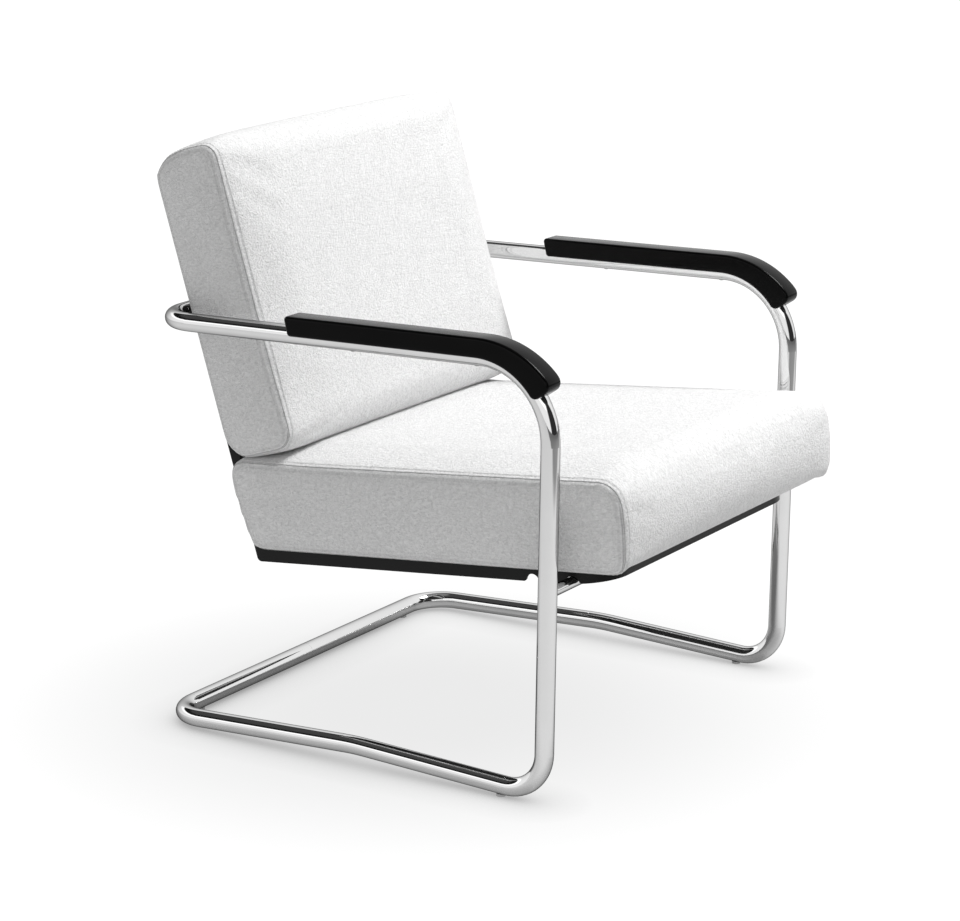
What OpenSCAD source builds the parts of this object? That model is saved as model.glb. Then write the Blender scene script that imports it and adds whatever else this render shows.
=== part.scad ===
// Cantilever lounge chair: a bent tube frame that carries a seat and back unit.
// Lengths are in millimetres. The chair faces -Y and stands on z = 0.
// Side views are drawn as [y, z] points, with y = 0 at the front floor corner of the tube.

/* [Tube frame] */
// Distance between the centre lines of the two sides
frame_w = 650; // [600:1:720]
// Outer diameter of the frame tube
tube_d = 25; // [23:0.5:26]
// Wall of the frame tube
tube_wall = 2; // [1.5:0.1:3]
// Outer diameter of the front crossbar
crossbar_d = 15; // [12:0.5:16]
// Width of the armrests
armrest_w = 35; // [30:1:40]

/* [Seat unit] */
// Lean of the back from the vertical, in degrees
back_lean = 17; // [15:0.5:18]
// Thickness of the seat cushion at its sides
seat_cushion_t = 112; // [90:1:120]
// Thickness of the back cushion at its sides
back_cushion_t = 109.7; // [90:0.1:115]
// Height of the back cushion's top above the rear arm bar
back_top = 211; // [190:1:230]
// Lift of the seat unit off the crossbar, in degrees, to see the joint at work
lift = 0; // [0:1:12]

/* [Hidden] */
$fn = 72;

// Side view of the tube, from the rear floor corner round to the rear arm corner
glide_t = 2;
floor_z = glide_t + tube_d / 2;
floor_rear_y = 600;
arm_rear = [602, 567.5];
arch_rise = 11.7;
arch = [292, floor_z + arch_rise];
front_drop = 2.1;
front_floor = [0, floor_z - front_drop];
front_arm = [-9.3, 579];
corner_r = 54;
arch_r = 400;
arm_bend_r = 101;
rear_corner_r = 52;

// The middle of the chair's depth
middle_y = 269.2;

// Widths of the seat unit, which follow the width between the sides of the frame
cushion_side_gap = 22.5;
cushion_w = frame_w - tube_d - 2 * cushion_side_gap;
rail_inset = 23;
rail_w = cushion_w - 2 * rail_inset;

// Fits
fit = 0.1;
rest_gap = 0.3;
seam = 0.2;
bend_thinning = 0.1;
bend_overlap = 1;
overcut = 1;
far = 900;

// Joints between the two halves of the tube
spigot_length = 120;
spigot_wall = 3;
joint_screw_d = 5;
joint_screw_x = 35;
joint_screw_length = 7;

// Front crossbar
crossbar_z = 282.5;
crossbar_wall = 1.5;

// Armrests
armrest_t = 26.5;
armrest_edge_r = 4;
armrest_length = 284.7;
armrest_end_slant = 12;
armrest_front_turn = 147.6;
armrest_blank_turn = 75;
armrest_front_rs = [6, 5];
armrest_outer_offset = [-5.9, -7.1];
armrest_screw_ys = [5, 193];
armrest_screw_d = 4;
armrest_screw_bite = 10;
dome_d = 8.5;
dome_h = 2.2;
spot_depth = 0.8;

// Floor glides
glide_d = 12;
glide_peg_d = 5;
glide_peg_h = 6;
glide_collar = 1.2;
front_glide_y = 64;
rear_glide_inset = 70;
rear_glide_x = frame_w / 2 - rear_glide_inset;

// Flat bar of the seat unit
bar_w = 25;
bar_t = 4;

// Seat frame: origin at the centre of the notch in use, y along the rail to the rear, z up from it
seat_tilt = 5.3;
rail_front = -48;
rail_corner_r = 60;
notch_r = 10;
notch_pitch = 57.8;
notch_lip = 2;
seat_bar_ys = [60, 400];

// Back frame: origin on the rear face of the uprights beside the arm bar, y to the rear, z up the back
upright_w = 15;
upright_top = 182;
foot_r = 7;
back_bar_zs = [-165, 42, 160];
hook_bar = 1;

// Hooks over the rear arm bar
hook_inset = 67;
hook_x = rail_w / 2 - hook_inset;
hook_w = 25;
hook_play = 0.7;
hook_travel = 72;
hook_foot = 17;
hook_drop = 22;
hook_tip_r = 8;
hook_tip_turn = 40;
hook_screw_x = 7;

// Screws of the seat unit
screw_d = 4;
screw_head_d = 8;
screw_crown_share = 0.7;
screw_head_h = 2;
board_screw_inset = 117;
board_screw_x = rail_w / 2 - board_screw_inset;
board_screw_bite = 9;

// Boards
board_t = 12;
board_overhang = 3;
seat_board_front = -38;
seat_board_gap = 13.5;
back_board_zs = [-200, 190];

// Cushions
seat_front_y = -90;
seat_rear_ys = [477, 504];
seat_corner_rs = [14, 14, 25, 33];
seat_crown_heights = [0, 3, 15, 17];
seat_draw_depths = [1, 0, 3.5, 0];
back_bottom = -209;
back_top_slope = 8;
back_corner_rs = [36, 28, 20, 28];
back_crown_heights = [0, 5, 18, 3];
back_draw_depths = [2.4, 0, 3.5, 0];
side_bulge = 5;
side_ring_share = 0.55;
side_ring_rise_share = 0.8;
crown_power = 6;
ring_shares = [-1, -0.97, -0.9, -0.78, -0.62, -0.43, -0.22, 0, 0.22, 0.43, 0.62, 0.78, 0.9, 0.97, 1];
corner_steps = 5;
edge_steps = 5;

// Plane geometry
function unit(v) = v / norm(v);
function along(angle) = [cos(angle), sin(angle)];
function half_angle(a, b, c) = acos(unit(a - b) * unit(c - b)) / 2;
function turn_at(a, b, c) = 180 - 2 * half_angle(a, b, c);
function setback(a, b, c, r) = r / tan(half_angle(a, b, c));
function bend_centre(a, b, c, r) = b + unit(unit(a - b) + unit(c - b)) * r / sin(half_angle(a, b, c));
function arc(centre, r, from, to, steps) =
    [for (i = [0 : steps]) centre + r * along(from + (to - from) * i / steps)];

// The tube's side view: the outer points stand where the rear corners begin
side_points = [
    [floor_rear_y, floor_z] + unit(arch - [floor_rear_y, floor_z]) * rear_corner_r,
    arch, front_floor, front_arm,
    arm_rear + unit(front_arm - arm_rear) * rear_corner_r
];
side_rs = [0, arch_r, corner_r, arm_bend_r, 0];
last_point = len(side_points) - 1;
function cut_back(i) = side_rs[i] == 0 ? 0
    : setback(side_points[i - 1], side_points[i], side_points[i + 1], side_rs[i]);

module side_straight(i, d) {
    run = unit(side_points[i + 1] - side_points[i]);
    from = side_points[i] + run * cut_back(i);
    to = side_points[i + 1] - run * cut_back(i + 1);
    translate([frame_w / 2, from.x, from.y])
        rotate([atan2(-run.x, run.y), 0, 0])
            cylinder(d = d, h = norm(to - from));
}

// A quarter or less of a ring, a little thinner than the tube and run on into its neighbours
module bend(r, turn, d) {
    run_on = bend_overlap / r * 180 / PI;
    rotate(-run_on)
        rotate_extrude(angle = turn + 2 * run_on)
            translate([r, 0]) circle(d = d - bend_thinning);
}

module side_bend(i, d) {
    a = side_points[i - 1];
    b = side_points[i];
    c = side_points[i + 1];
    r = side_rs[i];
    centre = bend_centre(a, b, c, r);
    from = b + unit(a - b) * setback(a, b, c, r) - centre;
    to = b + unit(c - b) * setback(a, b, c, r) - centre;
    start = cross(b - a, c - b) > 0 ? from : to;
    translate([frame_w / 2, centre.x, centre.y])
        rotate([90, 0, 90])
            rotate(atan2(start.y, start.x)) bend(r, turn_at(a, b, c), d);
}

// Half of a cross tube at the rear, with the corner that leads to the side
module rear_half(corner, toward, d, start_x) {
    slope = atan2(corner.y - toward.y, corner.x - toward.x);
    straight_end = frame_w / 2 - rear_corner_r;
    translate([0, corner.x, corner.y]) rotate([slope, 0, 0]) {
        translate([straight_end, -rear_corner_r, 0]) bend(rear_corner_r, 90, d);
        translate([start_x, 0, 0]) rotate([0, 90, 0]) cylinder(d = d, h = straight_end - start_x);
    }
}

module tube_path(d, start_x) {
    for (i = [0 : last_point - 1]) side_straight(i, d);
    for (i = [1 : last_point - 1]) side_bend(i, d);
    rear_half([floor_rear_y, floor_z], arch, d, start_x);
    rear_half(arm_rear, front_arm, d, start_x);
}

// Frames of reference
arm_slope = atan2(front_arm.y - arm_rear.y, arm_rear.x - front_arm.x);
arm_centre = bend_centre(front_floor, front_arm, arm_rear, arm_bend_r);
crossbar = [front_arm.x * (crossbar_z - front_floor.y) / (front_arm.y - front_floor.y), crossbar_z];
seat_up = [sin(seat_tilt), cos(seat_tilt)];
seat_rear = [cos(seat_tilt), -sin(seat_tilt)];
back_up = [sin(back_lean), cos(back_lean)];
back_rear = [cos(back_lean), -sin(back_lean)];
seat_origin = crossbar - seat_up * (notch_r - rest_gap - crossbar_d / 2);
back_origin = arm_rear - back_rear * (tube_d / 2 + rest_gap);

// Where the plane at depth n in the back frame meets a height in the seat frame:
// how far up the back that is, and how far back along the seat
function up_the_back(n, seat_z) =
    (seat_z - (back_origin + n * back_rear - seat_origin) * seat_up) / (back_up * seat_up);
function along_the_seat(n, seat_z) =
    (back_origin + n * back_rear + up_the_back(n, seat_z) * back_up - seat_origin) * seat_rear;

module standing() translate([0, -middle_y, 0]) children();
module in_frame(origin, tilt) translate([0, origin.x, origin.y]) rotate([-tilt, 0, 0]) children();
module in_arm() translate([frame_w / 2, 0, 0]) in_frame(arm_centre, arm_slope) children();
module in_seat() in_frame(seat_origin, seat_tilt) children();
module in_back() in_frame(back_origin, back_lean) children();
// Turns a drawing in the side view, and its extrusion, to stand along x
module sideways() rotate([90, 0, 90]) children();
module lifted()
    standing() translate([0, arm_rear.x, arm_rear.y]) rotate([-lift, 0, 0])
        translate([0, -arm_rear.x, -arm_rear.y]) children();
module on_both_sides() {
    children();
    mirror([1, 0, 0]) children();
}

// Holes for the armrest screws, the glides and the joint screws
module at_armrest_screws() in_arm() for (y = armrest_screw_ys) translate([0, y, arm_bend_r]) children();
module at_front_glide() translate([frame_w / 2, front_glide_y, 0]) children();
module at_rear_glide() translate([rear_glide_x, floor_rear_y, 0]) children();
module at_joint_screws(bar) translate([joint_screw_x, bar.x, bar.y - tube_d / 2]) children();
floor_bar = [floor_rear_y, floor_z];

module frame_tube() {
    color("silver") standing() difference() {
        tube_path(tube_d, seam / 2);
        tube_path(tube_d - 2 * tube_wall, -overcut);
        at_armrest_screws() {
            cylinder(d = armrest_screw_d + 2 * fit, h = tube_d + 2 * overcut, center = true);
            translate([0, 0, -tube_d / 2 - overcut])
                cylinder(d = dome_d + 2 * fit, h = spot_depth + overcut);
        }
        at_front_glide() cylinder(d = glide_peg_d + 2 * fit, h = glide_peg_h + overcut);
        at_rear_glide() cylinder(d = glide_peg_d + 2 * fit, h = glide_peg_h + overcut);
        for (bar = [floor_bar, arm_rear]) at_joint_screws(bar)
            translate([0, 0, -overcut]) cylinder(d = joint_screw_d + 2 * fit, h = tube_wall + 2 * overcut);
    }
}

module frame_tube_left() frame_tube();

module frame_tube_right() mirror([1, 0, 0]) frame_tube();

module spigot(bar) {
    spigot_d = tube_d - 2 * tube_wall - 2 * fit;
    color("gray") standing() difference() {
        translate([0, bar.x, bar.y]) rotate([0, 90, 0]) difference() {
            cylinder(d = spigot_d, h = spigot_length, center = true);
            cylinder(d = spigot_d - 2 * spigot_wall, h = spigot_length + 2 * overcut, center = true);
        }
        on_both_sides() at_joint_screws(bar) cylinder(d = joint_screw_d + 2 * fit, h = tube_d / 2);
    }
}

module floor_spigot() spigot(floor_bar);

module arm_spigot() spigot(arm_rear);

module joint_screws() {
    color("gray") standing() on_both_sides() for (bar = [floor_bar, arm_rear])
        at_joint_screws(bar) cylinder(d = joint_screw_d, h = joint_screw_length);
}

module front_crossbar() {
    color("silver") standing() difference() {
        translate([0, crossbar.x, crossbar.y]) rotate([0, 90, 0]) difference() {
            cylinder(d = crossbar_d, h = frame_w - 2 * tube_wall, center = true);
            cylinder(d = crossbar_d - 2 * crossbar_wall, h = frame_w, center = true);
        }
        on_both_sides() side_straight(2, tube_d);
    }
}

// Cross section of an armrest, with its top at the given height and its upper edges rounded
module armrest_section(top) {
    depth = armrest_t + tube_d / 2;
    half_w = armrest_w / 2;
    r = armrest_edge_r;
    translate([-half_w, top - depth]) square([armrest_w, depth - r]);
    translate([r - half_w, top - depth]) square([armrest_w - 2 * r, depth]);
    for (side = [-1, 1]) translate([side * (half_w - r), top - r]) circle(r = r);
}

module armrest_blank() {
    outer = armrest_outer_offset;
    outer_r = arm_bend_r + armrest_t - outer.y;
    length = armrest_length + armrest_t;
    translate([0, length, 0]) rotate([90, 0, 0])
        linear_extrude(length - outer.x) armrest_section(arm_bend_r + armrest_t);
    translate([0, outer.x, outer.y]) sideways() rotate(90)
        rotate_extrude(angle = armrest_blank_turn) rotate(-90) armrest_section(outer_r);
}

// The groove that takes the upper half of the tube
module armrest_groove(d) {
    translate([0, far, arm_bend_r]) rotate([90, 0, 0]) cylinder(d = d, h = far);
    sideways() rotate(90)
        rotate_extrude(angle = armrest_blank_turn) translate([arm_bend_r, 0]) circle(d = d);
}

// What is cut from the blank, in the side view: below the tube's centre line, and both ends
module armrest_cuts() {
    outer = armrest_outer_offset;
    outer_r = arm_bend_r + armrest_t - outer.y;
    toward_front = along(armrest_front_turn);
    across = along(armrest_front_turn + 90);
    top_r = armrest_front_rs[0];
    low_r = armrest_front_rs[1];
    top_from_outer = -top_r - outer * across;
    top_centre = outer * toward_front + sqrt(pow(outer_r - top_r, 2) - pow(top_from_outer, 2));
    low_centre = sqrt(pow(arm_bend_r + low_r, 2) - pow(low_r, 2));
    circle(r = arm_bend_r);
    translate([0, -arm_bend_r]) square([far, 2 * arm_bend_r]);
    translate([armrest_length, arm_bend_r]) rotate(-armrest_end_slant)
        translate([0, -arm_bend_r]) square([far, far]);
    rotate(armrest_front_turn) {
        square([far, far]);
        translate([top_centre, -top_r]) difference() {
            square([far, far]);
            circle(r = top_r);
        }
        translate([low_centre, -low_r]) difference() {
            translate([-far, 0]) square([far, far]);
            circle(r = low_r);
        }
    }
}

module armrest() {
    color("black") standing() difference() {
        in_arm() difference() {
            armrest_blank();
            translate([-armrest_w, 0, 0]) sideways() linear_extrude(2 * armrest_w) armrest_cuts();
            armrest_groove(tube_d + 2 * fit);
        }
        at_armrest_screws()
            cylinder(d = armrest_screw_d + 2 * fit, h = tube_d / 2 + armrest_screw_bite + fit);
    }
}

module armrest_left() armrest();

module armrest_right() mirror([1, 0, 0]) armrest();

// A domed head that points down, with its flat side at z = 0
module dome() {
    ball_r = (pow(dome_d / 2, 2) + pow(dome_h, 2)) / (2 * dome_h);
    intersection() {
        translate([0, 0, ball_r - dome_h]) sphere(r = ball_r);
        translate([0, 0, -dome_h]) cylinder(d = dome_d, h = dome_h);
    }
}

module armrest_screws() {
    color("silver") standing() on_both_sides() at_armrest_screws() {
        translate([0, 0, spot_depth - tube_d / 2]) {
            dome();
            cylinder(d = armrest_screw_d, h = tube_d - spot_depth + armrest_screw_bite);
        }
    }
}

// Four glides, each a round foot under the tube with a peg in the tube's wall
module floor_glides() {
    color("white") standing() on_both_sides() {
        at_front_glide() cylinder(d = glide_peg_d, h = glide_peg_h);
        difference() {
            at_front_glide() cylinder(d = glide_d, h = glide_t + glide_collar);
            side_straight(1, tube_d + 2 * rest_gap);
        }
        at_rear_glide() cylinder(d = glide_peg_d, h = glide_peg_h);
        difference() {
            at_rear_glide() cylinder(d = glide_d, h = glide_t + glide_collar);
            translate([0, floor_bar.x, floor_bar.y]) rotate([0, 90, 0])
                cylinder(d = tube_d + 2 * rest_gap, h = frame_w / 2);
        }
    }
}

// The U of the seat, seen from above and drawn in by the inset
module seat_plan(inset, front, length) {
    half_w = rail_w / 2 - inset;
    r = rail_corner_r - inset;
    translate([-half_w, front + r]) square([2 * half_w, length - r]);
    translate([r - half_w, front]) square([2 * (half_w - r), length]);
    for (side = [-1, 1]) translate([side * (half_w - r), front + r]) circle(r = r);
}

// Half-round, with small flats that break the sharp lips
module notch() {
    circle(r = notch_r);
    polygon([
        [-notch_r - notch_lip, 0], [-notch_r, notch_lip], [notch_r, notch_lip], [notch_r + notch_lip, 0],
        [notch_r, -notch_r], [-notch_r, -notch_r]
    ]);
}

module seat_rail() {
    color("black") lifted() difference() {
        in_seat() difference() {
            linear_extrude(bar_w) difference() {
                seat_plan(0, rail_front, far);
                seat_plan(bar_t, rail_front + bar_t, far);
            }
            for (y = [0, notch_pitch])
                translate([-rail_w, y, 0]) sideways() linear_extrude(2 * rail_w) notch();
        }
        in_back() translate([-rail_w, -upright_w, -far]) cube([2 * rail_w, far, 2 * far]);
    }
}

// Flat bar across the chair, centred on x = 0 and on z = 0, with its front face at y = 0
module cross_bar(length) translate([-length / 2, 0, -bar_w / 2]) cube([length, bar_t, bar_w]);

module at_board_screws() {
    for (x = [-board_screw_x, board_screw_x]) {
        in_seat() for (y = seat_bar_ys) translate([x, y, bar_w - bar_t]) children();
        in_back() for (z = [back_bar_zs[0], back_bar_zs[2]])
            translate([x, bar_t - upright_w, z]) rotate([90, 0, 0]) children();
    }
}

module screw_hole(depth) translate([0, 0, -overcut]) cylinder(d = screw_d + 2 * fit, h = depth + overcut);

module screw(length) {
    cylinder(d = screw_d, h = length);
    translate([0, 0, -screw_head_h])
        cylinder(d1 = screw_head_d * screw_crown_share, d2 = screw_head_d, h = screw_head_h);
}

module seat_cross_bars() {
    color("black") lifted() difference() {
        in_seat() for (y = seat_bar_ys)
            translate([0, y, bar_w]) rotate([-90, 0, 0]) cross_bar(rail_w - 2 * bar_t);
        at_board_screws() screw_hole(bar_t + overcut);
    }
}

foot_z = up_the_back(0, 0);
foot_turn = back_lean - seat_tilt;

module back_upright() {
    foot_centre = [-foot_r, foot_z + foot_r / cos(foot_turn) - foot_r * tan(foot_turn)];
    outline = concat(
        [[-upright_w, foot_z - upright_w * tan(foot_turn)], [-upright_w, upright_top], [0, upright_top]],
        arc(foot_centre, foot_r, 0, foot_turn - 90, 8)
    );
    color("black") lifted() in_back() translate([rail_w / 2 - upright_w, 0, 0])
        sideways() linear_extrude(upright_w) polygon(outline);
}

module back_upright_left() back_upright();

module back_upright_right() mirror([1, 0, 0]) back_upright();

module at_hook_screws() {
    in_back() for (x = [-hook_screw_x, hook_screw_x])
        translate([hook_x + x, 2 * bar_t - upright_w, back_bar_zs[hook_bar]]) rotate([90, 0, 0]) children();
}

module back_cross_bars() {
    color("black") lifted() difference() {
        in_back() for (z = back_bar_zs) translate([0, -upright_w, z]) cross_bar(rail_w - 2 * upright_w);
        at_board_screws() screw_hole(bar_t + overcut);
        on_both_sides() at_hook_screws() screw_hole(2 * bar_t + overcut);
    }
}

// A strap bent over the arm bar, drawn in the side view of the back
module hook_outline() {
    front_y = 2 * bar_t - upright_w;
    rear_y = tube_d + rest_gap + hook_play;
    mid_y = (front_y + rear_y) / 2;
    inner_r = (rear_y - front_y) / 2;
    difference() {
        translate([mid_y, hook_travel]) circle(r = inner_r + bar_t);
        translate([mid_y, hook_travel]) circle(r = inner_r);
        translate([mid_y - far / 2, hook_travel - far]) square([far, far]);
    }
    translate([front_y - bar_t, back_bar_zs[hook_bar] - hook_foot])
        square([bar_t, hook_travel - back_bar_zs[hook_bar] + hook_foot]);
    translate([rear_y, -hook_drop]) square([bar_t, hook_travel + hook_drop]);
    translate([rear_y + bar_t + hook_tip_r, -hook_drop]) intersection() {
        difference() {
            circle(r = hook_tip_r + bar_t);
            circle(r = hook_tip_r);
        }
        polygon([[0, 0], [-far, 0], -far * along(hook_tip_turn)]);
    }
}

module hook() {
    color("black") lifted() difference() {
        in_back() translate([hook_x - hook_w / 2, 0, 0]) sideways() linear_extrude(hook_w) hook_outline();
        at_hook_screws() screw_hole(2 * bar_t);
    }
}

module hook_left() hook();

module hook_right() mirror([1, 0, 0]) hook();

module hook_screws() color("silver") lifted() on_both_sides() at_hook_screws() screw(2 * bar_t - rest_gap);

module seat_board_blank(grow) {
    seat_board_length = along_the_seat(-upright_w, bar_w) - seat_board_gap - seat_board_front;
    in_seat() translate([0, 0, bar_w]) linear_extrude(board_t + grow) intersection() {
        seat_plan(-board_overhang - grow, seat_board_front - grow, far);
        translate([-rail_w, seat_board_front - grow]) square([2 * rail_w, seat_board_length + 2 * grow]);
    }
}

module back_board_blank(grow) {
    half_w = rail_w / 2 + board_overhang + grow;
    height = back_board_zs[1] - back_board_zs[0] + 2 * grow;
    in_back() translate([-half_w, -upright_w - board_t - grow, back_board_zs[0] - grow])
        cube([2 * half_w, board_t + grow, height]);
}

module seat_board() {
    color("dimgray") lifted() difference() {
        seat_board_blank(0);
        at_board_screws() screw_hole(bar_t + board_screw_bite + fit);
    }
}

module back_board() {
    color("dimgray") lifted() difference() {
        back_board_blank(0);
        at_board_screws() screw_hole(bar_t + board_screw_bite + fit);
    }
}

module board_screws() color("silver") lifted() at_board_screws() screw(bar_t + board_screw_bite);

// Side outline of a cushion: [point, outward direction, edge, place along the edge from 0 to 1]
function corner_turn(p, i) =
    let (a = p[(i + 3) % 4], b = p[i], c = p[(i + 1) % 4])
    let (from = atan2(a.x - b.x, b.y - a.y))
    [from, from + turn_at(a, b, c)];
function corner_arc(p, rs, i) =
    let (turn = corner_turn(p, i), b = p[i])
    let (centre = bend_centre(p[(i + 3) % 4], b, p[(i + 1) % 4], rs[i]))
    [for (k = [0 : corner_steps - 1])
        let (angle = turn[0] + (turn[1] - turn[0]) * k / (corner_steps - 1))
        [centre + rs[i] * along(angle), along(angle), i, 0]];
function edge_run(from, to, i) =
    [for (k = [1 : edge_steps])
        let (share = k / (edge_steps + 1))
        [from[0] + (to[0] - from[0]) * share, from[1], i, share]];
function outline(p, rs) =
    let (turns = [for (i = [0 : 3]) corner_arc(p, rs, i)])
    [for (i = [0 : 3]) let (last = turns[i][corner_steps - 1], next = turns[(i + 1) % 4][0])
        each concat(turns[i], edge_run(last, next, i))];

// A boxed cushion: each edge of its side outline swells by its crown towards the middle
// of the width and is drawn in a little at the side seams
module cushion(corners, corner_rs, crowns, draws) {
    ring = outline(corners, corner_rs);
    n = len(ring);
    half_w = cushion_w / 2;
    centre = (corners[0] + corners[1] + corners[2] + corners[3]) / 4;
    function swell(e, x) =
        let (full = 1 - pow(abs(x), crown_power), rise = 1 - pow(2 * e[3] - 1, 2))
        e[3] > 0 ? (crowns[e[2]] * full - draws[e[2]] * (1 - full)) * rise : 0;
    rings = [for (x = ring_shares) each
        [for (e = ring) let (p = e[0] + e[1] * swell(e, x)) [x * half_w, p.x, p.y]]];
    cap = [for (x = [-1, 1]) each
        [for (e = ring) let (p = centre + (e[0] - centre) * side_ring_share)
            [x * (half_w + side_bulge * side_ring_rise_share), p.x, p.y]]];
    tips = [for (x = [-1, 1]) [x * (half_w + side_bulge), centre.x, centre.y]];
    m = len(ring_shares);
    first_cap = n * m;
    tip = first_cap + 2 * n;
    wall = [for (k = [0 : m - 2], i = [0 : n - 1]) let (j = (i + 1) % n) each
        [[k * n + i, (k + 1) * n + i, (k + 1) * n + j], [k * n + i, (k + 1) * n + j, k * n + j]]];
    low_side = [for (i = [0 : n - 1]) let (j = (i + 1) % n, c = first_cap) each
        [[c + i, i, j], [c + i, j, c + j], [tip, c + i, c + j]]];
    high_side = [for (i = [0 : n - 1]) let (j = (i + 1) % n, c = first_cap + n, s = n * (m - 1)) each
        [[s + i, c + i, c + j], [s + i, c + j, s + j], [c + i, tip + 1, c + j]]];
    polyhedron(points = concat(rings, cap, tips), faces = concat(wall, low_side, high_side));
}

seat_corners = [
    [seat_front_y, bar_w], [seat_rear_ys[0], bar_w],
    [seat_rear_ys[1], bar_w + seat_cushion_t], [seat_front_y, bar_w + seat_cushion_t]
];
back_rear_y = -upright_w - rest_gap;
back_corners = [
    [back_rear_y, back_bottom], [back_rear_y, back_top - back_top_slope],
    [back_rear_y - back_cushion_t, back_top], [back_rear_y - back_cushion_t, back_bottom]
];

module seat_cushion() {
    color("white") lifted() difference() {
        in_seat() cushion(seat_corners, seat_corner_rs, seat_crown_heights, seat_draw_depths);
        seat_board_blank(rest_gap);
    }
}

module back_cushion() {
    color("white") lifted() difference() {
        in_back() cushion(back_corners, back_corner_rs, back_crown_heights, back_draw_depths);
        back_board_blank(rest_gap);
    }
}

frame_tube_left();
frame_tube_right();
floor_spigot();
arm_spigot();
joint_screws();
front_crossbar();
armrest_left();
armrest_right();
armrest_screws();
floor_glides();
seat_rail();
seat_cross_bars();
back_upright_left();
back_upright_right();
back_cross_bars();
hook_left();
hook_right();
hook_screws();
seat_board();
back_board();
board_screws();
seat_cushion();
back_cushion();
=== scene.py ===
import itertools
import math

import bmesh
import bpy
from mathutils import Matrix, Vector
from mathutils.bvhtree import BVHTree
from mathutils.kdtree import KDTree


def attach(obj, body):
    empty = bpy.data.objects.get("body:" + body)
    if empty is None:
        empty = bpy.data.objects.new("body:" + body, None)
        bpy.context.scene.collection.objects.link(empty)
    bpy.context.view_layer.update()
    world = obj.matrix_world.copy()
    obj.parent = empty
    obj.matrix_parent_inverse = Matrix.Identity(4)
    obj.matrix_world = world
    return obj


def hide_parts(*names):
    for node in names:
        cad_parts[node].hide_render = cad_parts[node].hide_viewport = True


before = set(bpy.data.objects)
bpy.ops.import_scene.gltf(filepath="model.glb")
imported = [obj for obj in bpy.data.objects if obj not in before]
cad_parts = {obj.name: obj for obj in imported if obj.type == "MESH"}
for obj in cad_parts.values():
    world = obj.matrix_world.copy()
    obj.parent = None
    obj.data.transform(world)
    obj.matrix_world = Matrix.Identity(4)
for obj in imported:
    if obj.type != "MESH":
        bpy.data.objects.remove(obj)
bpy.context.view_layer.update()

# The chair stands at the origin and faces -Y. Lengths are in metres and angles in degrees.
# Side views are drawn as (y, z) points.

# Places shared with the frame
middle_y = 0.2692
seat_origin = (-0.0046, 0.2803)
seat_tilt = 5.3
back_origin = (0.5898, 0.5712)
back_lean = 17
arm_centre = (0.0940, 0.4760)
arm_slope = 1.08
side_x = 0.325

# Points nearer than this to each other are one point
same_place = 1e-6

# Cushions, in the frames of the seat and of the back. A side view starts with the two ends of the
# edge that rests on the board, and goes on round. Every list has one value for each corner, or for
# the edge that starts there. A crown is how far the cover swells out in the middle of the chair, and
# a jut is how far it does so beside the seams. A held edge lies between the black bars, and juts
# out only beside them.
cushion_half_w = 0.290
seat_profile = [(-0.090, 0.025), (0.482, 0.028), (0.508, 0.138), (-0.090, 0.137)]
seat_corner_rs = [0.014, 0.005, 0.020, 0.028]
seat_corner_crowns = [0.007, 0.0, 0.015, 0.018]
seat_edge_crowns = [0.0, 0.002, 0.017, 0.019]
seat_corner_juts = [0.006, 0.005, 0.008, 0.005]
seat_edge_juts = [0.007, 0.008, 0.004, 0.008]
seat_held_edges = [0, 1]
back_profile = [(-0.0153, -0.209), (-0.0153, 0.203), (-0.125, 0.211), (-0.125, -0.209)]
back_corner_rs = [0.036, 0.028, 0.026, 0.028]
back_corner_crowns = [0.002, 0.005, 0.010, 0.007]
back_edge_crowns = [0.0, 0.008, 0.018, 0.006]
back_corner_juts = [0.003, -0.002, -0.002, 0.0]
back_edge_juts = [0.002, 0.003, -0.005, 0.001]
back_held_edges = [0]
corner_segments = 8
outline_step = 0.0005
# A corner's values turn into its edge's over the run-in. The crown stays full almost to the seams.
crown_run_in = 0.13
rest_run_in = 0.02
crown_power = 12
# The side panels bulge a little, and the cover's swell fades out this deep inside the outline.
side_bulge = 0.008
drawn_depth = 0.050
# The black bars end at this distance from the middle, and a held edge juts out past them.
free_x = 0.2685
free_run = 0.016
# The cover sinks a little into the board that it rests on.
board_sink = 0.002
# The cloth's own pressure adds the rest of the crown.
unfilled_share = 0.85
cloth_voxel = 0.006
cloth_frames = 20
cloth_pressure = 4
cloth_cap = 0.004
pinned_within = 0.005
smoothing_rounds = 6

# Stitching beside the seams
stitch_row = 0.0066
stitch_pitch = 0.0055
stitch_length = 0.0040
stitch_d = 0.0008
# The hollows along a seam and along a row of stitches, and the shade painted into them, fade out over
# these distances.
seam_valley = (0.0002, 0.0022)
stitch_dimple = (0.0004, 0.0030)

# Armrests, in the frame of the arm's bend. Both arcs stop short of the rounded front corners, and the
# radii go round from the low rear corner over the top.
arm_bend_r = 0.101
armrest_half_w = 0.0175
armrest_t = 0.0265
armrest_length = 0.2847
armrest_end_slant = 12
armrest_front_turn = 147.6
armrest_outer = (-0.0059, -0.0071)
armrest_arc_steps = 20
armrest_low_steps = 18
armrest_top_steps = 17
armrest_corner_rs = [0.004, 0.006, 0.014, 0.008]
armrest_corner_segments = 6
armrest_edge_r = 0.0042
armrest_edge_segments = 5

# Floor as the camera sees it: how far the chair's painted shadow reaches and how deep it is, and the
# painted contact shadow beside the tubes
floor_size = 12
floor_glow = 1.08
floor_glow_share = 0.84
shadow_shift = (0.08, -0.08, 0)
shadow_reach = (0.1, 0.85)
shadow_depth = 0.23
contact_shadow_reach = 0.07
contact_shadow_depth = 0.55

# Floor as the chrome sees it: dark from so far in front of the chair, and dimmed by painted shade in a
# patch under the seat
dark_floor_from = (1.5, 1.8)
dark_floor_level = 0.03
seat_shade_x = (0.26, 0.42)
seat_shade_y = (0.25, 0.55)
seat_shade_depth = 0.8

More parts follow.
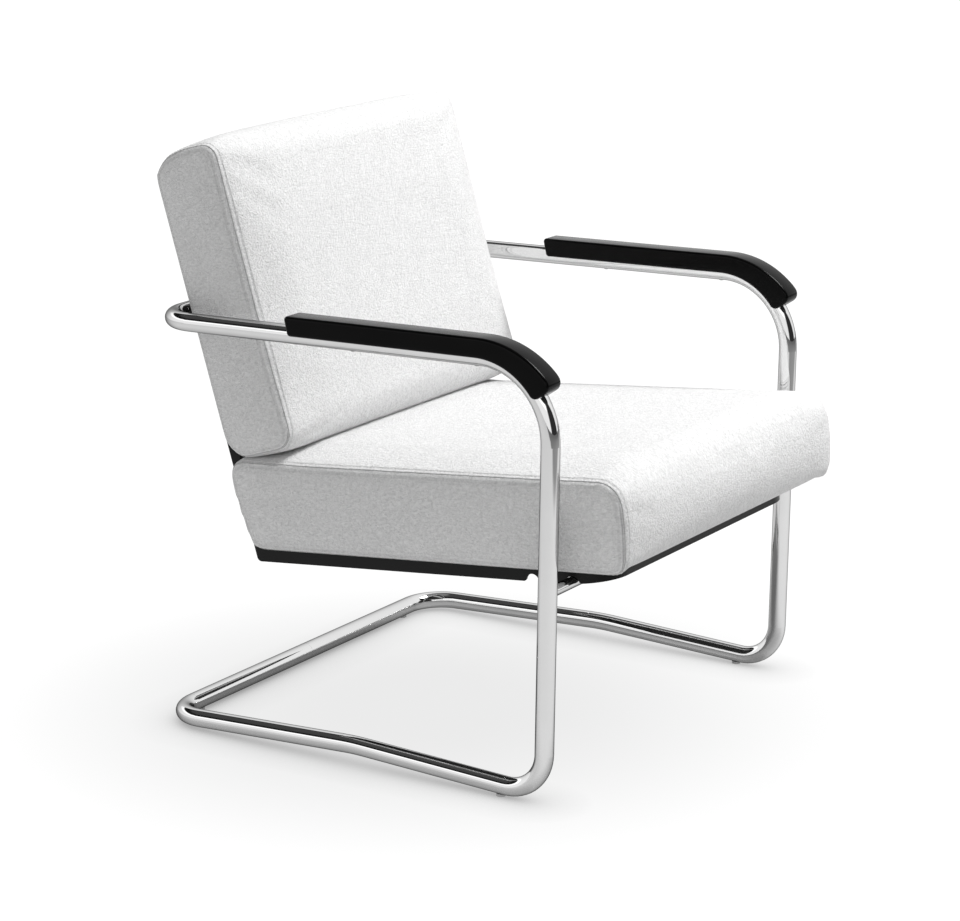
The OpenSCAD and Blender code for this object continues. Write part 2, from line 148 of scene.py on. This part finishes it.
# Studio around the chair. The stops go by the height of a ray's direction, from level to straight up.
studio_white = 0.67
wall_stops = [(0.0, studio_white), (0.32, studio_white), (0.36, 1.0), (0.46, 1.0), (0.49, 0.006),
              (0.64, 0.007), (0.70, 0.035), (0.88, 0.045), (0.93, 0.15)]
soft_stops = [(0.0, 0.23), (0.4, 0.29), (1.0, 0.44)]
backdrop_from = (0.40, 0.46)
dark_front_from = (0.78, 0.86)
dark_front_level = 0.02
key_place = (1.26, -1.45, 3.4)
key_aim = (0, 0, 0.4)
key_size = 1.2
key_power = 122

# Camera, with its turns in radians
focal_px = 3209.06
image_w_px = 960
sensor_w = 36
camera_place = (-3.64259, -2.25738, 1.45273)
camera_turn = -1.0099
camera_dip = 0.2525


def tilted(origin, tilt, x=0.0):
    """The frame at a side-view point, turned down to the rear by so many degrees."""
    place = Matrix.Translation((x, origin[0] - middle_y, origin[1]))
    return place @ Matrix.Rotation(-math.radians(tilt), 4, "X")


def smooth_step(value, start, end):
    share = max(0.0, min(1.0, (value - start) / (end - start)))
    return share * share * (3 - 2 * share)


# Materials

def grey(level):
    return (level, level, level, 1)


class Value:
    """A number that varies over a surface. Python's operators add its Math nodes."""

    def __init__(self, finish, socket):
        self.finish = finish
        self.socket = socket

    def math(self, operation, *values):
        return self.finish.add("Math", {"operation": operation}, dict(enumerate(values)))

    def __add__(self, other):
        return self.math("ADD", self, other)

    def __sub__(self, other):
        return self.math("SUBTRACT", self, other)

    def __mul__(self, other):
        return self.math("MULTIPLY", self, other)

    def __rsub__(self, other):
        return self.math("SUBTRACT", other, self)

    __radd__ = __add__
    __rmul__ = __mul__

    def __abs__(self):
        return self.math("ABSOLUTE", self)

    def clamp(self):
        return self.finish.add("Clamp", {}, {0: self})

    def fade(self, start, end):
        """1 up to the start and 0 from the end on, smooth between them."""
        return self.finish.add("MapRange", {"interpolation_type": "SMOOTHSTEP"},
                               {0: self, 1: start, 2: end, 3: 1.0, 4: 0.0})


class Finish:
    """The nodes behind one shader."""

    def __init__(self, tree, shader, output):
        self.tree = tree
        tree.nodes.clear()
        self.shader = tree.nodes.new("ShaderNode" + shader)
        end = tree.nodes.new("ShaderNode" + output)
        tree.links.new(self.shader.outputs[0], end.inputs["Surface"])

    def add(self, kind, settings, sockets, out=0):
        """Adds a node with its settings and the values of its sockets, and gives one of its outputs."""
        node = self.tree.nodes.new("ShaderNode" + kind)
        for key, setting in settings.items():
            if key == "stops":
                self.set_stops(node.color_ramp, setting)
            else:
                setattr(node, key, setting)
        for key, value in sockets.items():
            self.put(node.inputs[key], value)
        return Value(self, node.outputs[out])

    def set_stops(self, ramp, stops):
        while len(ramp.elements) < len(stops):
            ramp.elements.new(1.0)
        for element, (place, level) in zip(ramp.elements, stops):
            element.position = place
            element.color = grey(level)

    def put(self, socket, value):
        if isinstance(value, Value):
            self.tree.links.new(value.socket, socket)
        else:
            socket.default_value = value

    def set(self, sockets):
        for key, value in sockets.items():
            self.put(self.shader.inputs[key], value)

    def place(self, scale=(1, 1, 1)):
        """Object coordinates in metres, stretched along the axes."""
        coordinates = self.add("TexCoord", {}, {}, "Object")
        return self.stretch(coordinates, scale)

    def stretch(self, coordinates, scale):
        return self.add("Mapping", {}, {"Vector": coordinates, "Scale": scale})

    def noise(self, place, size, detail=2.0, roughness=0.5, distortion=0.0):
        """Noise with features about this many metres across."""
        return self.add("TexNoise", {}, {"Vector": place, "Scale": 1 / size, "Detail": detail,
                                         "Roughness": roughness, "Distortion": distortion})

    def bump(self, height, depth):
        """A normal for a height from 0 to 1 that stands for this many metres."""
        return self.add("Bump", {}, {"Height": height, "Strength": 1.0, "Distance": depth})

    def mix(self, amount, low, high):
        return self.add("Mix", {"data_type": "RGBA"}, {0: amount, 6: low, 7: high}, 2)

    def ray(self, kind):
        return self.add("LightPath", {}, {}, f"Is {kind} Ray")


def material(name, dress, shader="BsdfPrincipled"):
    made = bpy.data.materials.new(name)
    made.use_nodes = True
    dress(Finish(made.node_tree, shader, "OutputMaterial"))
    return made


def chrome(finish):
    """Polished plate: a mirror with the faintest waviness and a few dull specks."""
    place = finish.place()
    waviness = finish.noise(place, 0.05)
    specks = finish.noise(place, 0.004, detail=4)
    dull = (0.34 - specks).clamp()
    finish.set({"Base Color": finish.mix(waviness, grey(0.77), grey(0.83)), "Metallic": 1.0,
                "Specular Tint": grey(0.2), "Roughness": 0.03 + waviness * 0.04 + dull * 0.5,
                "Normal": finish.bump(waviness, 0.00006)})


def lacquered_wood(finish):
    """Black satin lacquer over close-grained wood, whose grain just shows as a ripple along the arm."""
    grain = finish.noise(finish.place((14, 1, 14)), 0.03, detail=5)
    cloud = finish.noise(finish.place(), 0.05)
    rubbed = finish.noise(finish.place((3, 1, 3)), 0.02, detail=3)
    finish.set({"Base Color": finish.mix(cloud, grey(0.001), grey(0.003)),
                "Roughness": 0.14 + cloud * 0.06 + rubbed * 0.06, "Specular IOR Level": 0.08,
                "Normal": finish.bump(grain, 0.00005)})


def black_metal(finish):
    """Satin black paint with a fine orange peel."""
    peel = finish.noise(finish.place(), 0.0016, detail=1)
    cloud = finish.noise(finish.place(), 0.08)
    finish.set({"Base Color": finish.mix(cloud, grey(0.004), grey(0.010)),
                "Roughness": 0.32 + cloud * 0.12, "Specular IOR Level": 0.18,
                "Normal": finish.bump(peel, 0.00003)})


def stained_plywood(finish):
    """Plywood stained black, its grain running across the chair."""
    grain = finish.noise(finish.place((1, 12, 12)), 0.05, detail=6, roughness=0.6)
    pores = finish.noise(finish.place((1, 20, 20)), 0.012, detail=3)
    finish.set({"Base Color": finish.mix(grain, grey(0.008), grey(0.035)),
                "Roughness": 0.55 + pores * 0.25, "Normal": finish.bump(pores, 0.0002)})


def plated_steel(finish):
    cloud = finish.noise(finish.place(), 0.003, detail=3)
    finish.set({"Base Color": finish.mix(cloud, grey(0.46), grey(0.58)), "Metallic": 1.0,
                "Roughness": 0.22 + cloud * 0.15, "Normal": finish.bump(cloud, 0.00002)})


def milky_plastic(finish):
    cloud = finish.noise(finish.place(), 0.002, detail=3)
    finish.set({"Base Color": finish.mix(cloud, grey(0.62), grey(0.74)),
                "Roughness": 0.4 + cloud * 0.2, "Normal": finish.bump(cloud, 0.00005)})


def woollen_cloth(finish):
    """Off-white fulled wool. The cover holds where the cloth lies and how far off the seam is."""
    seam = finish.add("Attribute", {"attribute_name": "seam"}, {}, "Fac")
    lie = finish.add("Attribute", {"attribute_name": "lie"}, {}, "Vector")
    loops = finish.noise(lie, 0.0042, detail=3, roughness=0.6, distortion=1.0)
    weft = finish.noise(finish.stretch(lie, (1, 0.4, 1)), 0.0022, detail=2, distortion=0.6)
    fluff = finish.noise(lie, 0.0010, detail=1)
    cloud = finish.noise(lie, 0.045, detail=2)
    yarn = loops * 0.6 + weft * 0.5 + fluff * 0.15
    valley = abs(seam).fade(*seam_valley)
    dimple = abs(abs(seam) - stitch_row).fade(*stitch_dimple)
    height = yarn - dimple * 0.3 - valley * 0.8
    # The yarn's tone varies at random, and painted shade darkens the weave's low spots, the seam's groove
    # and the stitch dimples.
    tone_and_painted_shade = (yarn * 2.4 - 0.90 + cloud * 0.2 - valley * 0.35 - dimple * 0.26).clamp()
    finish.set({"Base Color": finish.mix(tone_and_painted_shade, grey(0.60), grey(0.88)), "Roughness": 0.94,
                "Sheen Weight": 0.15, "Sheen Roughness": 0.5, "Specular IOR Level": 0.2,
                "Normal": finish.bump(height, 0.0028)})


def sewing_thread(finish):
    twist = finish.noise(finish.place(), 0.0006, detail=1)
    finish.set({"Base Color": finish.mix(twist, grey(0.60), grey(0.80)), "Roughness": 0.7,
                "Normal": finish.bump(twist, 0.0001)})


# Mesh pieces

def mesh_piece(name, build):
    """A new object at the origin whose mesh is what build makes of an empty bmesh."""
    bm = bmesh.new()
    build(bm)
    mesh = bpy.data.meshes.new(name)
    bm.to_mesh(mesh)
    bm.free()
    mesh.shade_smooth()
    piece = bpy.data.objects.new(name, mesh)
    bpy.context.scene.collection.objects.link(piece)
    return piece


def shown_mesh(piece):
    """A new mesh of what the piece's modifiers make of it."""
    bpy.context.view_layer.update()
    return bpy.data.meshes.new_from_object(piece.evaluated_get(bpy.context.evaluated_depsgraph_get()))


def apply_modifiers(piece):
    mesh = shown_mesh(piece)
    piece.modifiers.clear()
    piece.data = mesh


# Cushions

def side_view(bm, profile, radii, x):
    """A face across the chair at x: the profile with its corners rounded."""
    corners = [bm.verts.new((x, y, z)) for y, z in profile]
    bm.faces.new(corners)
    for corner, radius in zip(corners, radii):
        bmesh.ops.bevel(bm, geom=[corner], offset=radius, segments=corner_segments, profile=0.5,
                        affect="VERTICES", material=-1)


def outline_of(profile, radii):
    """The rounded outline of a side view as a closed loop of points."""
    bm = bmesh.new()
    side_view(bm, profile, radii, 0)
    bm.faces.ensure_lookup_table()
    points = [Vector((vertex.co.y, vertex.co.z)) for vertex in bm.faces[0].verts]
    bm.free()
    return points


def loop_pairs(points):
    return list(zip(points, points[1:] + points[:1]))


def walk(points, pitch):
    """Places a pitch apart round a closed loop, each with the loop's direction there."""
    ahead = pitch / 2
    for a, b in loop_pairs(points):
        run = b - a
        while ahead < run.length:
            yield a + run.normalized() * ahead, run.normalized()
            ahead += pitch
        ahead -= run.length


class Rim:
    """A place on a cushion's outline: where it faces, and how far the cover swells out there."""

    def __init__(self, point, run, plan):
        self.point = point
        self.outward = Vector((run.y, -run.x))
        shares = []
        for k, (a, b) in enumerate(loop_pairs(plan.profile)):
            edge = b - a
            along = max(0.0, min(edge.length, (point - a).dot(edge) / edge.length))
            away = (point - a - edge * along / edge.length).length
            shares.append((away, k, along, edge.length))
        _, k, along, length = min(shares)
        corner = k if along < length / 2 else (k + 1) % len(plan.profile)
        self.rests = k == 0
        run_in = rest_run_in if self.rests else min(crown_run_in, length / 2)
        middle = smooth_step(min(along, length - along), 0, run_in)
        self.sink = board_sink * middle if self.rests else 0.0
        self.held = k in plan.held_edges
        self.crown = plan.corner_crowns[corner] * (1 - middle) + plan.edge_crowns[k] * middle
        self.jut = plan.corner_juts[corner] * (1 - middle) + plan.edge_juts[k] * middle


class Cushion:
    """The plan of a boxed cushion: a band round a rounded side view, and a panel at each side."""

    def __init__(self, profile, radii, corner_crowns, edge_crowns, corner_juts, edge_juts, held_edges):
        self.profile = [Vector(point) for point in profile]
        self.radii = radii
        self.corner_crowns = corner_crowns
        self.edge_crowns = edge_crowns
        self.corner_juts = corner_juts
        self.edge_juts = edge_juts
        self.held_edges = held_edges
        self.outline = outline_of(profile, radii)
        self.rims = [Rim(point, run, self) for point, run in walk(self.outline, outline_step)]
        self.near = KDTree(len(self.rims))
        for index, rim in enumerate(self.rims):
            self.near.insert((*rim.point, 0), index)
        self.near.balance()

    def slab(self, bm):
        side_view(bm, self.profile, self.radii, -cushion_half_w)
        side = bmesh.ops.extrude_face_region(bm, geom=bm.faces[:])
        moved = [piece for piece in side["geom"] if isinstance(piece, bmesh.types.BMVert)]
        bmesh.ops.translate(bm, verts=moved, vec=(2 * cushion_half_w, 0, 0))
        bmesh.ops.recalc_face_normals(bm, faces=bm.faces[:])

    def rim_at(self, place):
        """The rim nearest to a place on the slab, and how deep inside the outline the place lies."""
        _, index, _ = self.near.find((place.y, place.z, 0))
        rim = self.rims[index]
        return rim, abs((rim.point - Vector((place.y, place.z))).dot(rim.outward))

    def filled(self, place, rim, depth):
        """Where a point of the plain slab goes when the cushion is filled."""
        full = 1 - min(1.0, abs(place.x) / cushion_half_w) ** crown_power
        near = 1 - smooth_step(depth, 0, drawn_depth)
        free = smooth_step(abs(place.x), free_x, free_x + free_run)
        swell = rim.crown * full * unfilled_share + rim.jut * (free if rim.held else 1 - full)
        swell -= rim.sink * (1 - free)
        bulge = 0.0
        if abs(place.x) > cushion_half_w - cloth_voxel:
            bulge = math.copysign(side_bulge * (1 - (1 - min(1.0, depth / drawn_depth)) ** 2), place.x)
        move = rim.outward * swell * near
        return place + Vector((bulge, move.x, move.y))


def fill_with_pressure(piece, pinned):
    """Cloth pressure fills the cover between its pinned seams. No point moves further than the cap."""
    starts = [vertex.co.copy() for vertex in piece.data.vertices]
    group = piece.vertex_groups.new(name="pinned")
    group.add(pinned, 1.0, "REPLACE")
    cloth = piece.modifiers.new("cloth", "CLOTH")
    cloth.settings.vertex_group_mass = "pinned"
    cloth.settings.use_pressure = True
    cloth.settings.uniform_pressure_force = cloth_pressure
    cloth.settings.effector_weights.gravity = 0
    for step in range(1, cloth_frames + 1):
        bpy.context.scene.frame_set(step)
    settled = shown_mesh(piece)
    piece.modifiers.clear()
    piece.vertex_groups.clear()
    for vertex, start, end in zip(piece.data.vertices, starts, settled.vertices):
        move = end.co - start
        if move.length > cloth_cap:
            move = move.normalized() * cloth_cap
        vertex.co = start + move
    bpy.data.meshes.remove(settled)
    bpy.context.scene.frame_set(1)


def cushion_cover(name, plan):
    """The cover in its own frame, with attributes for the lie of the cloth and the seams."""
    cover = mesh_piece(name, plan.slab)
    even = cover.modifiers.new("even", "REMESH")
    even.mode = "VOXEL"
    even.voxel_size = cloth_voxel
    apply_modifiers(cover)
    lies = [vertex.co.copy() for vertex in cover.data.vertices]
    rims = [plan.rim_at(lie) for lie in lies]
    seams = [cushion_half_w - abs(lie.x) - depth for lie, (_, depth) in zip(lies, rims)]
    for vertex, lie, (rim, depth) in zip(cover.data.vertices, lies, rims):
        vertex.co = plan.filled(lie, rim, depth)
    seam_layer = cover.data.attributes.new("seam", "FLOAT", "POINT")
    seam_layer.data.foreach_set("value", seams)
    lie_layer = cover.data.attributes.new("lie", "FLOAT_VECTOR", "POINT")
    lie_layer.data.foreach_set("vector", [number for lie in lies for number in lie])
    pinned = [k for k, (rim, _) in enumerate(rims) if rim.rests or abs(seams[k]) < pinned_within]
    fill_with_pressure(cover, pinned)
    smoother = cover.modifiers.new("smoother", "SMOOTH")
    smoother.factor = 0.5
    smoother.iterations = smoothing_rounds
    rounder = cover.modifiers.new("rounder", "SUBSURF")
    rounder.levels = rounder.render_levels = 1
    apply_modifiers(cover)
    cover.data.shade_smooth()
    return cover


def stitching(name, plan, cover):
    """Thread on both sides of both seams: one short bead a stitch, laid on the cover."""
    def build(bm):
        ground = bmesh.new()
        ground.from_mesh(cover.data)
        surface = BVHTree.FromBMesh(ground)
        ground.free()
        size = Matrix.Diagonal((stitch_d / 2, stitch_d / 2, stitch_length / 2, 1))
        bead = bpy.data.meshes.new("bead")
        ball = bmesh.new()
        bmesh.ops.create_uvsphere(ball, u_segments=6, v_segments=4, radius=1, matrix=size)
        ball.to_mesh(bead)
        ball.free()
        for point, run in walk(plan.outline, stitch_pitch):
            outward = Vector((run.y, -run.x))
            on_panel = (cushion_half_w + stitch_row, point - outward * stitch_row)
            on_band = (cushion_half_w - stitch_row, point + outward * stitch_row)
            for side, (x, spot) in itertools.product((-1, 1), (on_panel, on_band)):
                location, normal, _, _ = surface.find_nearest(Vector((side * x, spot.x, spot.y)))
                along = Vector((0, run.x, run.y))
                across = normal.cross(along).normalized()
                axes = Matrix((across, along.cross(across), along)).transposed().to_4x4()
                stitch = bead.copy()
                stitch.transform(Matrix.Translation(location) @ axes)
                bm.from_mesh(stitch)
                bpy.data.meshes.remove(stitch)
        bpy.data.meshes.remove(bead)
    return mesh_piece(name, build)


def cushion(node, plan, place, cloth, thread):
    cover = cushion_cover(node + "_cover", plan)
    stitches = stitching(node + "_stitching", plan, cover)
    for piece, finish in ((cover, cloth), (stitches, thread)):
        piece.data.transform(place)
        piece.data.materials.append(finish)
        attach(piece, "seat_unit")
    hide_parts(node)


cloth = material("woollen_cloth", woollen_cloth)
thread = material("sewing_thread", sewing_thread)
seat_plan = Cushion(seat_profile, seat_corner_rs, seat_corner_crowns, seat_edge_crowns,
                    seat_corner_juts, seat_edge_juts, seat_held_edges)
back_plan = Cushion(back_profile, back_corner_rs, back_corner_crowns, back_edge_crowns,
                    back_corner_juts, back_edge_juts, back_held_edges)
cushion("seat_cushion", seat_plan, tilted(seat_origin, seat_tilt), cloth, thread)
cushion("back_cushion", back_plan, tilted(back_origin, back_lean), cloth, thread)


# Armrests

def armrest_side():
    """The four corners of the armrest's side view, and the points of its two arcs between them."""
    outer = Vector(armrest_outer)
    outer_r = arm_bend_r + armrest_t - outer.y
    front = math.radians(armrest_front_turn)
    toward_front = Vector((math.cos(front), math.sin(front)))
    low_front = toward_front * arm_bend_r
    reach = outer.dot(toward_front)
    top_front = toward_front * (reach + math.sqrt(reach ** 2 + outer_r ** 2 - outer.length_squared))
    slant = armrest_t * math.tan(math.radians(armrest_end_slant))
    low_rear = Vector((armrest_length, arm_bend_r))
    top_rear = Vector((armrest_length + slant, arm_bend_r + armrest_t))
    top_turn = math.atan2(top_front.y - outer.y, top_front.x - outer.x)
    low = [math.pi / 2 + (front - math.pi / 2) * k / armrest_arc_steps
           for k in range(1, armrest_low_steps + 1)]
    top = [math.pi / 2 + (top_turn - math.pi / 2) * k / armrest_arc_steps
           for k in range(armrest_top_steps, 0, -1)]
    low_arc = [Vector((math.cos(turn), math.sin(turn))) * arm_bend_r for turn in low]
    top_arc = [outer + Vector((math.cos(turn), math.sin(turn))) * outer_r for turn in top]
    return [low_rear, top_rear, top_front, low_front], low_arc, top_arc


def armrest(side):
    def build(bm):
        corners, low_arc, top_arc = armrest_side()
        low_rear, top_rear, top_front, low_front = corners
        low_start = Vector((0, arm_bend_r))
        top_start = Vector((armrest_outer[0], arm_bend_r + armrest_t))
        loop = [low_rear, low_start, *low_arc, low_front, top_front, *top_arc, top_start, top_rear]
        near = bm.faces.new([bm.verts.new((-armrest_half_w, y, z)) for y, z in loop])
        far = bmesh.ops.extrude_face_region(bm, geom=[near])
        moved = [piece for piece in far["geom"] if isinstance(piece, bmesh.types.BMVert)]
        bmesh.ops.translate(bm, verts=moved, vec=(2 * armrest_half_w, 0, 0))
        for corner, radius in zip(corners, armrest_corner_rs):
            edges = [edge for edge in bm.edges
                     if all((Vector((v.co.y, v.co.z)) - corner).length < same_place for v in edge.verts)]
            bmesh.ops.bevel(bm, geom=edges, offset=radius, segments=armrest_corner_segments,
                            profile=0.5, affect="EDGES", material=-1)
        rim = [edge for edge in bm.edges if abs(edge.verts[0].co.x - edge.verts[1].co.x) < same_place]
        bmesh.ops.bevel(bm, geom=rim, offset=armrest_edge_r, segments=armrest_edge_segments,
                        profile=0.5, affect="EDGES", material=-1)
        bmesh.ops.transform(bm, matrix=tilted(arm_centre, arm_slope, side * side_x), verts=bm.verts[:])
        bmesh.ops.recalc_face_normals(bm, faces=bm.faces[:])
    return build


lacquer = material("black_lacquer", lacquered_wood)
for side, hand in ((-1, "right"), (1, "left")):
    piece = mesh_piece(f"armrest_wood_{hand}", armrest(side))
    piece.data.materials.append(lacquer)
    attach(piece, "frame")
    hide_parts(f"armrest_{hand}")


# Finishes of the parts that come from the frame
finishes = [
    ("polished_chrome", chrome, ["frame_tube_left", "frame_tube_right", "front_crossbar"]),
    ("satin_black_metal", black_metal, ["seat_rail", "seat_cross_bars", "back_upright_left",
                                        "back_upright_right", "back_cross_bars", "hook_left",
                                        "hook_right"]),
    ("black_stained_plywood", stained_plywood, ["seat_board", "back_board"]),
    ("plated_steel", plated_steel, ["floor_spigot", "arm_spigot", "joint_screws", "armrest_screws",
                                    "hook_screws", "board_screws"]),
    ("milky_plastic", milky_plastic, ["floor_glides"]),
]
for name, dress, nodes in finishes:
    made = material(name, dress)
    for node in nodes:
        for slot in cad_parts[node].material_slots:
            slot.material = made


# Studio

def pale_floor(finish):
    """White to the camera, with the chair's shadow partly cast and mostly painted into its glow. Chrome
    sees it dim under the seat, where shade is painted, and far in front.
    """
    place = finish.place()
    shifted = finish.add("VectorMath", {"operation": "ADD"}, {0: place, 1: shadow_shift}, "Vector")
    distance = finish.add("VectorMath", {"operation": "LENGTH"}, {0: shifted}, "Value")
    x = finish.add("SeparateXYZ", {}, {0: place}, "X")
    y = finish.add("SeparateXYZ", {}, {0: place}, "Y")
    # Painted shade: the floor that the chrome sees is dimmed under the seat.
    seat_shade = abs(x).fade(*seat_shade_x) * abs(y).fade(*seat_shade_y)
    near_front = (0 - y).fade(*dark_floor_from)
    # Painted contact shadow: the glow darkens where the tubes close in on the floor.
    contact_shadow = 1 - finish.add("AmbientOcclusion", {"samples": 8}, {"Distance": contact_shadow_reach}, "AO")
    camera = finish.ray("Camera")
    mirror = finish.ray("Glossy").math("MAXIMUM", finish.ray("Transmission"))
    # Painted shadow: the glow that the camera sees darkens round the chair and beside the tubes.
    seen = 1 - distance.fade(*shadow_reach) * shadow_depth - contact_shadow * contact_shadow_depth
    floor_level = dark_floor_level + near_front * (1 - dark_floor_level)
    mirrored = (1 - seat_shade * seat_shade_depth) * floor_level
    level = camera * seen + (1 - camera) * mirrored
    lit = finish.add("BsdfDiffuse", {}, {"Color": grey(0.5)})
    glow_colour = finish.mix(level, grey(0), grey(1))
    glow = finish.add("Emission", {}, {"Color": glow_colour, "Strength": floor_glow})
    finish.set({0: camera * floor_glow_share + mirror, 1: lit, 2: glow})


def studio_light(finish):
    """White to the camera. The chrome sees walls, a bright strip, a dark ceiling and a white backdrop."""
    direction = finish.add("TexCoord", {}, {}, "Generated")
    height = finish.add("SeparateXYZ", {}, {0: direction}, "Z")
    toward_backdrop = finish.add("SeparateXYZ", {}, {0: direction}, "X")
    toward_front = 0 - finish.add("SeparateXYZ", {}, {0: direction}, "Y")
    walls = finish.add("ValToRGB", {"stops": wall_stops}, {0: height})
    around = finish.mix(toward_backdrop.fade(*backdrop_from), grey(studio_white), walls)
    mirrored = finish.mix(toward_front.fade(*dark_front_from), grey(dark_front_level), around)
    soft = finish.add("ValToRGB", {"stops": soft_stops}, {0: height})
    plain = finish.mix(finish.ray("Camera"), soft, grey(studio_white))
    finish.set({"Color": finish.mix(finish.ray("Glossy"), plain, mirrored),
                "Strength": 1 / studio_white})


def lamp(name, place, aim, size, power):
    data = bpy.data.lights.new(name, "AREA")
    data.shape = "SQUARE"
    data.size = size
    data.energy = power
    made = bpy.data.objects.new(name, data)
    made.location = place
    made.rotation_euler = (Vector(aim) - Vector(place)).to_track_quat("-Z", "Y").to_euler()
    bpy.context.scene.collection.objects.link(made)


def floor_square(bm):
    bmesh.ops.create_grid(bm, x_segments=1, y_segments=1, size=floor_size)


studio_floor = mesh_piece("studio_floor", floor_square)
studio_floor.data.materials.append(material("pale_floor", pale_floor, "MixShader"))
world = bpy.data.worlds.new("studio")
world.use_nodes = True
studio_light(Finish(world.node_tree, "Background", "OutputWorld"))
bpy.context.scene.world = world
lamp("key", key_place, key_aim, key_size, key_power)

# Camera
camera_data = bpy.data.cameras.new("camera")
camera_data.sensor_width = sensor_w
camera_data.lens = focal_px / image_w_px * sensor_w
camera = bpy.data.objects.new("camera", camera_data)
camera.location = camera_place
camera.rotation_euler = (math.pi / 2 - camera_dip, 0, camera_turn)
bpy.context.scene.collection.objects.link(camera)
bpy.context.scene.camera = camera
bpy.context.scene.view_settings.view_transform = "Standard"
